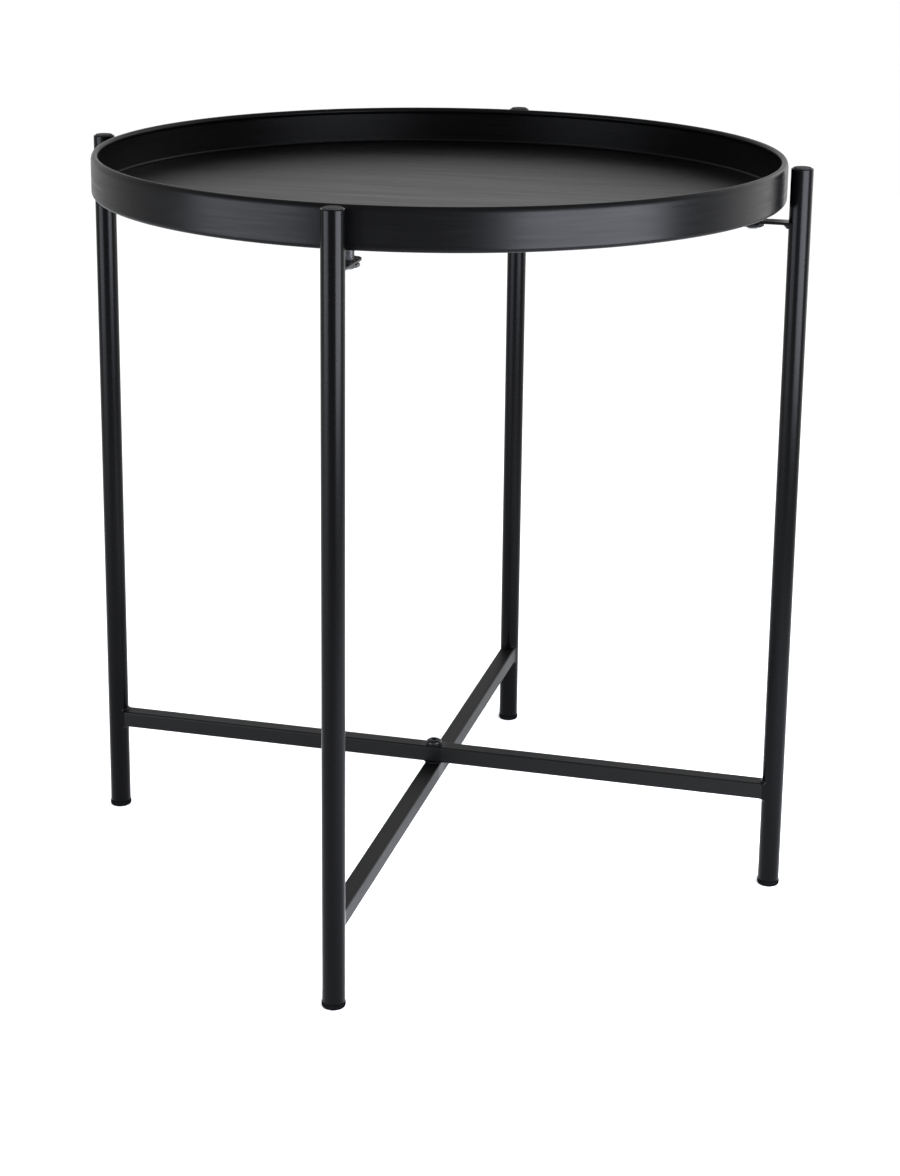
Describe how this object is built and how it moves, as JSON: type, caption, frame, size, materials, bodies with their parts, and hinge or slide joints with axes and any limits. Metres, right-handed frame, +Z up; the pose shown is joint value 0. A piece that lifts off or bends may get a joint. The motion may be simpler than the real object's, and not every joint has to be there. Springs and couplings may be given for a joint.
{
  "type": "folding tray table",
  "caption": "Round black steel tray with an upright rolled rim, resting between four tube legs of two H frames that cross under it and fold flat about a central bolt.",
  "frame": {"origin": "on the floor, on the axis of the pivot bolt, which is the centre of the tray and of the circle of legs", "axes": "+Z up along the pivot axis; X along the upper crossbar, from the left leg to the right leg; Y along the lower crossbar, from the front leg to the back leg"},
  "size_m": [0.5156, 0.5156, 0.52],
  "materials": {
    "tray_steel": "satin black powder coat with fine brush lines along the rim",
    "frame_steel": "satin black powder coat",
    "plug_plastic": "matt black moulded plastic",
    "foot_plastic": "matt black moulded plastic",
    "zinc": "zinc plated steel",
    "black_fastener": "black oxide steel",
    "spacer_plastic": "black nylon"
  },
  "bodies": {
    "frame_a": {"crossbar_upper": "frame_steel", "leg_right": "frame_steel", "leg_left": "frame_steel", "top_plug_right": "plug_plastic", "top_plug_left": "plug_plastic", "foot_glide_right": "foot_plastic", "foot_glide_left": "foot_plastic", "tray_tab_right": "frame_steel", "tray_tab_left": "frame_steel", "tray_stud_right": "zinc", "tray_stud_left": "zinc", "stud_nut_right": "zinc", "stud_nut_left": "zinc", "pivot_bolt": "black_fastener", "pivot_washer_top": "black_fastener", "pivot_spacer": "spacer_plastic"},
    "frame_b": {"crossbar_lower": "frame_steel", "leg_front": "frame_steel", "leg_back": "frame_steel", "top_plug_front": "plug_plastic", "top_plug_back": "plug_plastic", "foot_glide_front": "foot_plastic", "foot_glide_back": "foot_plastic", "tray_tab_front": "frame_steel", "tray_tab_back": "frame_steel", "tray_stud_front": "zinc", "tray_stud_back": "zinc", "stud_nut_front": "zinc", "stud_nut_back": "zinc", "pivot_insert": "zinc"},
    "tray": {"tray": "tray_steel"}
  },
  "joints": [
    {"name": "fold", "type": "hinge", "parent": "frame_a", "child": "frame_b", "pos_m": [0, 0, 0.0655], "axis": [0, 0, 1], "range_deg": [-85, 85]},
    {"name": "tray_lift", "type": "slide", "parent": "frame_a", "child": "tray", "axis": [0, 0, 1], "range_m": [0, 0.06]}
  ]
}
